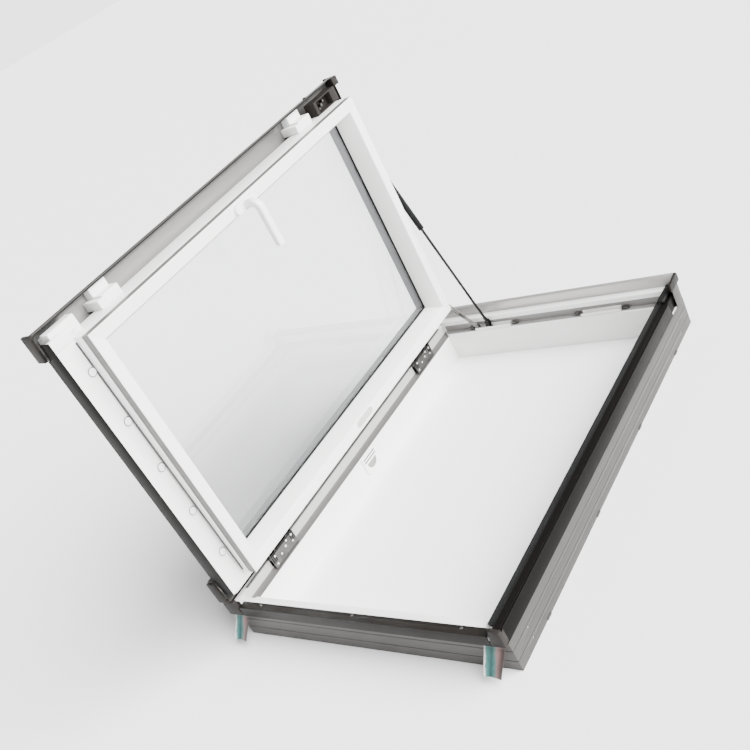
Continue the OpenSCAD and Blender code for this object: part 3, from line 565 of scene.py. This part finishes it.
def build_repeat_tree():
    """Sets a piece on every point, turned alike and spun by chance round its own axis."""
    tree = bpy.data.node_groups.new("repeat_on_points", "GeometryNodeTree")
    face = tree.interface
    face.new_socket("Geometry", in_out="INPUT", socket_type="NodeSocketGeometry")
    face.new_socket("Pattern Piece", in_out="INPUT", socket_type="NodeSocketObject")
    face.new_socket("Turn", in_out="INPUT", socket_type="NodeSocketVector")
    face.new_socket("Spin", in_out="INPUT", socket_type="NodeSocketFloat")
    face.new_socket("Seed", in_out="INPUT", socket_type="NodeSocketInt")
    face.new_socket("Finish", in_out="INPUT", socket_type="NodeSocketMaterial")
    face.new_socket("Geometry", in_out="OUTPUT", socket_type="NodeSocketGeometry")
    add = tree.nodes.new
    link = tree.links.new
    given = add("NodeGroupInput")
    out = add("NodeGroupOutput")
    source = add("GeometryNodeObjectInfo")
    spin = add("FunctionNodeRandomValue")
    spin.data_type = "FLOAT"
    own_turn = add("ShaderNodeCombineXYZ")
    turned_piece = add("FunctionNodeRotateEuler")
    turned_piece.space = "LOCAL"
    place = add("GeometryNodeInstanceOnPoints")
    plain = add("GeometryNodeRealizeInstances")
    paint = add("GeometryNodeSetMaterial")
    link(given.outputs["Pattern Piece"], source.inputs["Object"])
    link(given.outputs["Spin"], spin.inputs[3])
    link(given.outputs["Seed"], spin.inputs["Seed"])
    link(spin.outputs[1], own_turn.inputs["Z"])
    link(given.outputs["Turn"], turned_piece.inputs["Rotation"])
    link(own_turn.outputs["Vector"], turned_piece.inputs["Rotate By"])
    link(given.outputs["Geometry"], place.inputs["Points"])
    link(source.outputs["Geometry"], place.inputs["Instance"])
    link(turned_piece.outputs["Rotation"], place.inputs["Rotation"])
    link(place.outputs["Instances"], plain.inputs["Geometry"])
    link(plain.outputs["Geometry"], paint.inputs["Geometry"])
    link(given.outputs["Finish"], paint.inputs["Material"])
    link(paint.outputs["Geometry"], out.inputs["Geometry"])
    return tree


repeat_tree = build_repeat_tree()


def repeat_on(name, pattern_piece, points, turn, finish, body, slot_name,
              replaced=(), spin=0.0, seed=3, carry=None):
    """Runs the tree on the points, and then carries the result to its open place if asked."""
    mesh = bpy.data.meshes.new(name)
    mesh.from_pydata([tuple(p) for p in points], [], [])
    piece = bpy.data.objects.new(name, mesh)
    bpy.context.scene.collection.objects.link(piece)
    run = piece.modifiers.new("repeat", "NODES")
    run.node_group = repeat_tree
    values = {"Pattern Piece": pattern_piece, "Turn": turn, "Spin": spin, "Seed": seed,
              "Finish": finish}
    for item in repeat_tree.interface.items_tree:
        if item.in_out == "INPUT" and item.name in values:
            run[item.identifier] = values[item.name]
    settle(piece, body, slot_name, *replaced)
    bpy.data.objects.remove(pattern_piece)
    if carry:
        piece.data.transform(carry)
    print(name, "on", len(points), "points,", len(piece.data.polygons), "faces")
    return piece


def part_boxes(name):
    """Low and high corner of each loose part of a CAD node, sorted by the low corner."""
    shape = bmesh.new()
    shape.from_mesh(nodes[name].data)
    bmesh.ops.remove_doubles(shape, verts=shape.verts, dist=same_corner)
    left, found = set(shape.verts), []
    while left:
        group, waiting = set(), [left.pop()]
        while waiting:
            vert = waiting.pop()
            group.add(vert)
            for link in vert.link_edges:
                other = link.other_vert(vert)
                if other in left:
                    left.discard(other)
                    waiting.append(other)
        low = [min(v.co[k] for v in group) for k in range(3)]
        high = [max(v.co[k] for v in group) for k in range(3)]
        found.append((Vector(low), Vector(high)))
    shape.free()
    return sorted(found, key=lambda pair: tuple(round(v, 4) for v in pair[0]))


# %% [markdown]
# The sill's screws stand upright, and the rivets of the hinge leaves look into the opening.
# The CAD nodes give their places, so only the heads are new.

# %% Sill screws and leaf rivets
pan_height = 0.0016
pan_profile = [(0, 0), (0.0036, 0), (0.0036, 0.0006), (0.0033, 0.0011), (0.0026, 0.0015),
               (0, pan_height)]
pan_head = turned("pan_head", pan_profile, 24, (0.0034, 0.0008, 0.0008))
screw_tops = [Vector(((lo.x + hi.x) / 2, (lo.y + hi.y) / 2, hi.z - pan_height))
              for lo, hi in part_boxes("sill_screws")]
repeat_on("sill_screw_heads", pan_head, screw_tops, (0, 0, 0), bright_steel,
          "frame", "bright_steel", spin=1.5)

rivet_profile = [(0, 0), (0.0034, 0), (0.0034, 0.0003), (0.0030, 0.0009), (0.0020, 0.0013),
                 (0, 0.0014)]
rivet_head = turned("rivet_head", rivet_profile, 20, (0.0030, 0.0007, 0.0007))
rivet_spots = [Vector((lo.x, (lo.y + hi.y) / 2, (lo.z + hi.z) / 2))
               for lo, hi in part_boxes("hinge_leaf_rivets")]
repeat_on("hinge_rivet_heads", rivet_head, rivet_spots, (0, math.pi / 2, 0), rivet_steel,
          "frame", "bright_steel", ["hinge_leaf_rivets"], spin=1.5, seed=8)

# %% [markdown]
# The coils at the ends of the head rails are wire wound on a spindle. A spiral curve with a
# round profile is exactly that, so a second tree makes one coil from its radius, turns and
# wire size, and sets it on each point.

# %% Coils on the head rails
def build_coil_tree():
    """Sweeps a round wire along a spiral and sets the coil on every point."""
    tree = bpy.data.node_groups.new("wound_coil", "GeometryNodeTree")
    face = tree.interface
    face.new_socket("Geometry", in_out="INPUT", socket_type="NodeSocketGeometry")
    for label, kind in (("Coil Radius", "Float"), ("Wire Radius", "Float"), ("Turns", "Float"),
                        ("Length", "Float"), ("Finish", "Material")):
        face.new_socket(label, in_out="INPUT", socket_type="NodeSocket" + kind)
    face.new_socket("Geometry", in_out="OUTPUT", socket_type="NodeSocketGeometry")
    add = tree.nodes.new
    link = tree.links.new
    given = add("NodeGroupInput")
    out = add("NodeGroupOutput")
    spiral = add("GeometryNodeCurveSpiral")
    spiral.inputs["Resolution"].default_value = 20
    ring = add("GeometryNodeCurvePrimitiveCircle")
    ring.inputs["Resolution"].default_value = 8
    wire = add("GeometryNodeCurveToMesh")
    wire.inputs["Fill Caps"].default_value = True
    place = add("GeometryNodeInstanceOnPoints")
    place.inputs["Rotation"].default_value = (0, math.pi / 2, 0)
    plain = add("GeometryNodeRealizeInstances")
    paint = add("GeometryNodeSetMaterial")
    link(given.outputs["Turns"], spiral.inputs["Rotations"])
    link(given.outputs["Coil Radius"], spiral.inputs["Start Radius"])
    link(given.outputs["Coil Radius"], spiral.inputs["End Radius"])
    link(given.outputs["Length"], spiral.inputs["Height"])
    link(given.outputs["Wire Radius"], ring.inputs["Radius"])
    link(spiral.outputs["Curve"], wire.inputs["Curve"])
    link(ring.outputs["Curve"], wire.inputs["Profile Curve"])
    link(given.outputs["Geometry"], place.inputs["Points"])
    link(wire.outputs["Mesh"], place.inputs["Instance"])
    link(place.outputs["Instances"], plain.inputs["Geometry"])
    link(plain.outputs["Geometry"], paint.inputs["Geometry"])
    link(given.outputs["Finish"], paint.inputs["Material"])
    link(paint.outputs["Geometry"], out.inputs["Geometry"])
    return tree


coil_tree = build_coil_tree()
coil_length = 0.013
coil_in, coil_up = 0.005, 0.0052
spindle_width = 0.03
coil_starts = []
for low, high in part_boxes("rail_fittings"):
    if high.x - low.x < spindle_width:
        coil_x = (low.x + high.x) / 2 - coil_length / 2
        coil_starts.append(Vector((coil_x, low.y + coil_in, low.z + coil_up)))
coil_mesh = bpy.data.meshes.new("rail_coils")
coil_mesh.from_pydata([tuple(p) for p in coil_starts], [], [])
rail_coils = bpy.data.objects.new("rail_coils", coil_mesh)
bpy.context.scene.collection.objects.link(rail_coils)
wind = rail_coils.modifiers.new("wind", "NODES")
wind.node_group = coil_tree
coil_values = {"Coil Radius": 0.0040, "Wire Radius": 0.0009, "Turns": 6.0,
               "Length": coil_length, "Finish": bright_steel}
for item in coil_tree.interface.items_tree:
    if item.in_out == "INPUT" and item.name in coil_values:
        wind[item.identifier] = coil_values[item.name]
settle(rail_coils, "frame", "bright_steel")
print("coils", len(coil_starts))

# %% [markdown]
# The foil strips are soft and printed. Their colours run in bands along the strip, so they
# are read across the strip's own UV map, and a slow wave keeps the bands from being straight.

# %% Foil strip finish
foil = finish_of("foil_strip", moulded_grain, (0.5, 0.6, 0.6, 1), 0.9, (0.35, 0.5), 500, 0.00005)
foil_tree = foil.node_tree
foil_place = foil_tree.nodes.new("ShaderNodeTexCoord")
foil_wave = foil_tree.nodes.new("ShaderNodeTexNoise")
foil_wave.inputs["Scale"].default_value = 4.0
foil_split = foil_tree.nodes.new("ShaderNodeSeparateXYZ")
foil_sum = foil_tree.nodes.new("ShaderNodeMath")
foil_sum.operation = "MULTIPLY_ADD"
foil_sum.inputs[1].default_value = 0.22
foil_ramp = foil_tree.nodes.new("ShaderNodeValToRGB")
bands = foil_ramp.color_ramp.elements
bands[0].color = (0.55, 0.56, 0.54, 1)
bands[1].color = (0.035, 0.02, 0.018, 1)
for band_at, tone in (
    (0.16, (0.50, 0.52, 0.50, 1)),
    (0.24, (0.05, 0.15, 0.145, 1)),
    (0.48, (0.012, 0.055, 0.052, 1)),
    (0.62, (0.06, 0.15, 0.145, 1)),
    (0.72, (0.20, 0.13, 0.12, 1)),
    (0.88, (0.10, 0.05, 0.045, 1)),
):
    bands.new(band_at).color = tone
foil_tree.links.new(foil_place.outputs["UV"], foil_wave.inputs["Vector"])
foil_tree.links.new(foil_place.outputs["UV"], foil_split.inputs[0])
foil_tree.links.new(foil_wave.outputs["Fac"], foil_sum.inputs[0])
foil_tree.links.new(foil_split.outputs["X"], foil_sum.inputs[2])
foil_tree.links.new(foil_sum.outputs[0], foil_ramp.inputs["Fac"])
foil_shader = foil_tree.nodes["Principled BSDF"]
foil_tree.links.new(foil_ramp.outputs["Color"], foil_shader.inputs["Base Color"])

# %% [markdown]
# They hang from the ends of the sill and bend away from the wall. A grid of points follows
# the bend, curls a little across its width, and gets its thickness last.

# %% Foil strips
hang_line = [(0.001, 0), (0.0018, 0.010), (0.0115, 0.0215), (0.0225, 0.0335), (0.034, 0.0445),
             (0.0445, 0.0555)]
narrowing = 0.14
wall_gap = 0.0006


def foil_strip(name, node):
    """Hangs a strip along hang_line, whose pairs are (out from the wall, down)."""
    low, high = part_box(node)
    across, along = 12, 26
    back, top = high.y, high.z
    line = [(back - away, top - down) for away, down in hang_line]
    rows = []
    for i in range(along):
        t = i / (along - 1) * (len(line) - 1)
        k = min(int(t), len(line) - 2)
        y = line[k][0] + (line[k + 1][0] - line[k][0]) * (t - k)
        z = line[k][1] + (line[k + 1][1] - line[k][1]) * (t - k)
        row = []
        fall = i / (along - 1)
        for j in range(across):
            u = j / (across - 1)
            arch = 0.006 * math.sin(math.pi * u) * fall
            ripple = 0.0010 * math.sin(6 * u + 0.3 * i) * fall
            curl = arch - 0.004 * fall * u + ripple
            x = low.x + (high.x - low.x) * (1 - narrowing * fall) * u - 0.002 * fall
            row.append((x, min(y + curl, back - wall_gap), max(z - 0.5 * curl, low.z + wall_gap)))
        rows.append(row)
    verts = [p for row in rows for p in row]
    starts = [i * across + j for i in range(along - 1) for j in range(across - 1)]
    faces = [(k, k + across, k + across + 1, k + 1) for k in starts]
    mesh = bpy.data.meshes.new(name)
    mesh.from_pydata(verts, [], faces)
    chart = mesh.uv_layers.new(name="strip_map")
    for loop in mesh.loops:
        row, column = divmod(loop.vertex_index, across)
        chart.data[loop.index].uv = (column / (across - 1), row / (along - 1))
    strip = bpy.data.objects.new(name, mesh)
    bpy.context.scene.collection.objects.link(strip)
    smooth = strip.modifiers.new("smooth", "SMOOTH")
    smooth.iterations = 4
    thick = strip.modifiers.new("thickness", "SOLIDIFY")
    thick.thickness = 0.0008
    thick.offset = 0.0
    mesh.materials.append(foil)
    settle(strip, "frame", "foil_fabric", node)
    return strip


foil_strip("foil_strip_lock", "foil_tail_lock")
foil_strip("foil_strip_hinge", "foil_tail_hinge")

# %% [markdown]
# The handle is one moulding: a round neck leaves the rosette, bends through a wide elbow and
# flattens into a grip with a slanted end. Sweeping a rounded section along a bent path gives
# that in one clean surface, and the section may change as it goes.

# %% Handle
def swept(name, stations, sides=20):
    """Joins rounded sections.

    A station is (middle, forward, half width, half thickness, squareness).
    """
    shape = bmesh.new()
    rings = []
    for middle, forward, half_w, half_t, square in stations:
        forward = Vector(forward).normalized()
        across = Vector((0, 1, 0))
        up = forward.cross(across).normalized()
        ring = []
        for k in range(sides):
            a = 2 * math.pi * k / sides
            c, s = math.cos(a), math.sin(a)
            c = math.copysign(abs(c) ** square, c)
            s = math.copysign(abs(s) ** square, s)
            ring.append(shape.verts.new(Vector(middle) + across * half_w * c + up * half_t * s))
        rings.append(ring)
    for low, high in zip(rings, rings[1:]):
        for k in range(sides):
            shape.faces.new((low[k], low[(k + 1) % sides], high[(k + 1) % sides], high[k]))
    shape.faces.new(list(reversed(rings[0])))
    shape.faces.new(rings[-1])
    bmesh.ops.recalc_face_normals(shape, faces=shape.faces)
    mesh = bpy.data.meshes.new(name)
    shape.to_mesh(mesh)
    shape.free()
    piece = bpy.data.objects.new(name, mesh)
    bpy.context.scene.collection.objects.link(piece)
    return piece


handle_axis_x, handle_axis_y, ring_face_z = 0.326, 0.008, 0.0905
stand, grip_reach, bend = 0.0445, 0.1175, 0.018
elbow_x = handle_axis_x - bend
grip_z = ring_face_z - stand
neck_steps, elbow_steps, grip_steps = 4, 8, 10
slant, slant_length = 0.30, 0.006
stations = []
for k in range(neck_steps):
    neck_z = ring_face_z - 0.006 - 0.0068 * k
    stations.append(((handle_axis_x, handle_axis_y, neck_z), (0, 0, -1), 0.0100, 0.0102, 0.85))
for k in range(elbow_steps + 1):
    part = k / elbow_steps
    a = math.pi / 2 * part
    corner = (elbow_x + bend * math.cos(a), handle_axis_y, grip_z + bend - bend * math.sin(a))
    stations.append((corner, (-math.sin(a), 0, -math.cos(a)),
                     0.0102 + 0.0006 * part, 0.0102 - 0.0004 * part, 0.8 - 0.2 * part))
for k in range(1, grip_steps + 1):
    part = k / grip_steps
    reach_x = bend + (grip_reach - 0.004 - bend) * part
    stations.append(((handle_axis_x - reach_x, handle_axis_y, grip_z), (-1, 0, 0),
                     0.0108, 0.0098 - 0.0012 * part, 0.6))
lever = swept("window_handle", stations)
for corner in lever.data.vertices:
    if corner.co.x < handle_axis_x - grip_reach + slant_length:
        corner.co.x += slant * (corner.co.z - grip_z) - 0.001
lever.data.transform(to_open)
lever.data.materials.append(white_plastic)
lever_bevel = lever.modifiers.new("soft_end", "BEVEL")
lever_bevel.width = 0.0022
lever_bevel.segments = 3
lever_bevel.limit_method = "ANGLE"
lever_bevel.angle_limit = math.radians(50)
lever_round = lever.modifiers.new("round", "SUBSURF")
lever_round.levels = 1
lever_round.render_levels = 1
settle(lever, "handle", "white_plastic", "handle_lever")

# %% [markdown]
# The five plugs in the white flange close the screw holes. Each is a shallow round cap in a
# thin grey rim, which is painted shade round the cap's edge. Both are set down by the same tree
# as the screws, while the sash lies shut, and then carried to its open place.

# %% Flange plugs
plug_profile = [(0, -0.0018), (0.0072, -0.0019), (0.0084, -0.0017), (0.0091, -0.0010),
                (0.0092, -0.0003), (0.0086, 0.0003), (0.0084, 0.0038), (0, 0.0038)]
rim_profile = [(0, -0.0005), (0.0105, -0.0005), (0.0110, -0.0001), (0.0106, 0.0002), (0, 0.0002)]
plug_sides = 32
plug_sink = 0.0020
plug = turned("flange_plug", plug_profile, plug_sides)
plug_rim = turned("flange_plug_rim", rim_profile, plug_sides)
plug_spots = []
for low, high in part_boxes("flange_plugs"):
    middle = to_shut @ ((low + high) / 2)
    plug_spots.append(Vector((middle.x, middle.y, middle.z - plug_sink)))
repeat_on("flange_plug_caps", plug, plug_spots, (0, 0, 0), white_plastic,
          "sash", "white_plastic", ["flange_plugs"], carry=to_open)
# The grey rims are painted shade round each cap.
repeat_on("flange_plug_rims", plug_rim, plug_spots, (0, 0, 0), seal_grey_and_shade,
          "sash", "white_plastic", [], carry=to_open)

# %% [markdown]
# Some openings are too fine for the solid model, and only read as dark marks. Thin dark blocks
# stand in for the shade in them, as painted shade: the floors of the catch plate's slots and
# pocket, the windows of the two hinges, and the grey face of the head rebate. The dark seal along
# the flange is partly the seal's own colour and partly painted shade of its groove.

# %% Floors, windows, rebate face and flange seal
def block(name, low, high, finish, body, slot_name):
    """A plain block between two corners, with a hair of a bevel."""
    shape = bmesh.new()
    middle = (Vector(low) + Vector(high)) / 2
    size = Vector(high) - Vector(low)
    placed = Matrix.Translation(middle) @ Matrix.Diagonal((*size, 1))
    bmesh.ops.create_cube(shape, size=1.0, matrix=placed)
    bmesh.ops.bevel(shape, geom=list(shape.edges), offset=0.0001, segments=1, affect="EDGES")
    mesh = bpy.data.meshes.new(name)
    shape.to_mesh(mesh)
    shape.free()
    piece = bpy.data.objects.new(name, mesh)
    bpy.context.scene.collection.objects.link(piece)
    mesh.materials.append(finish)
    return settle(piece, body, slot_name)


# A near-black for the flange seal, partly its own colour and partly painted shade.
seal_and_groove_shade = finish_of("slot_floor", moulded_grain, (0.05, 0.049, 0.05, 1), 0.85,
                      (0.35, 0.45), 300, 0.00002)
rim = 0.006
overlap = 0.001
# Dark floors in the catch plate's slots and pocket: painted shade.
low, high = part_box("catch_plate")
block("catch_slot_floor",
      (low.x + 0.0022, low.y + rim - overlap, low.z + 0.034),
      (high.x - 0.0006, high.y - rim + overlap, high.z - 0.0055),
      black_rubber, "frame", "black_rubber")
block("catch_pocket_floor",
      (low.x + 0.0012, low.y + 2 * rim, low.z + rim - overlap),
      (low.x + 0.0022, high.y - 2 * rim, low.z + 0.0305),
      painted_shade_grey, "frame", "white_plastic")

leaf_back, leaf_front = -0.3502, -0.3495
window_low, window_high, window_width = 0.101, 0.1215, 0.0036
slot_low, slot_high, slot_inset = 0.1212, 0.1248, 0.003
whole_leaf = 0.035
# Black blocks in the hinge leaves' windows and slot: painted shade in the gaps.
for low, high in part_boxes("hinge_frame_leaves"):
    if high.z - low.z < whole_leaf:
        continue
    number = round(1000 * low.y + 900)
    windows = (low.y + 0.003, low.y + 0.009, low.y + 0.015,
               high.y - 0.018, high.y - 0.012, high.y - 0.006)
    for k, y in enumerate(windows):
        block("hinge_window_%d_%d" % (number, k), (leaf_back, y, window_low),
              (leaf_front, y + window_width, window_high), black_rubber, "frame", "black_rubber")
    block("hinge_slot_%d" % number, (leaf_back, low.y + slot_inset, slot_low),
          (leaf_front, high.y - slot_inset, slot_high), black_rubber, "frame", "black_rubber")

# The lower face of the head upstand, painted grey as painted shade.
block("head_rebate_face", (-0.357, 0.5634, 0.0893), (0.357, 0.5641, 0.1085), painted_shade_grey,
      "frame", "white_paint")
# A dark strip along the flange: partly the seal's own dark, partly painted shade of its groove.
low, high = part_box("sash_sill_flange")
block("flange_seal", (high.x - 0.0002, high.y - 0.0050, low.z + 0.006),
      (high.x + 0.0005, high.y - 0.0004, high.z - 0.008), seal_and_groove_shade, "sash", "black_rubber")
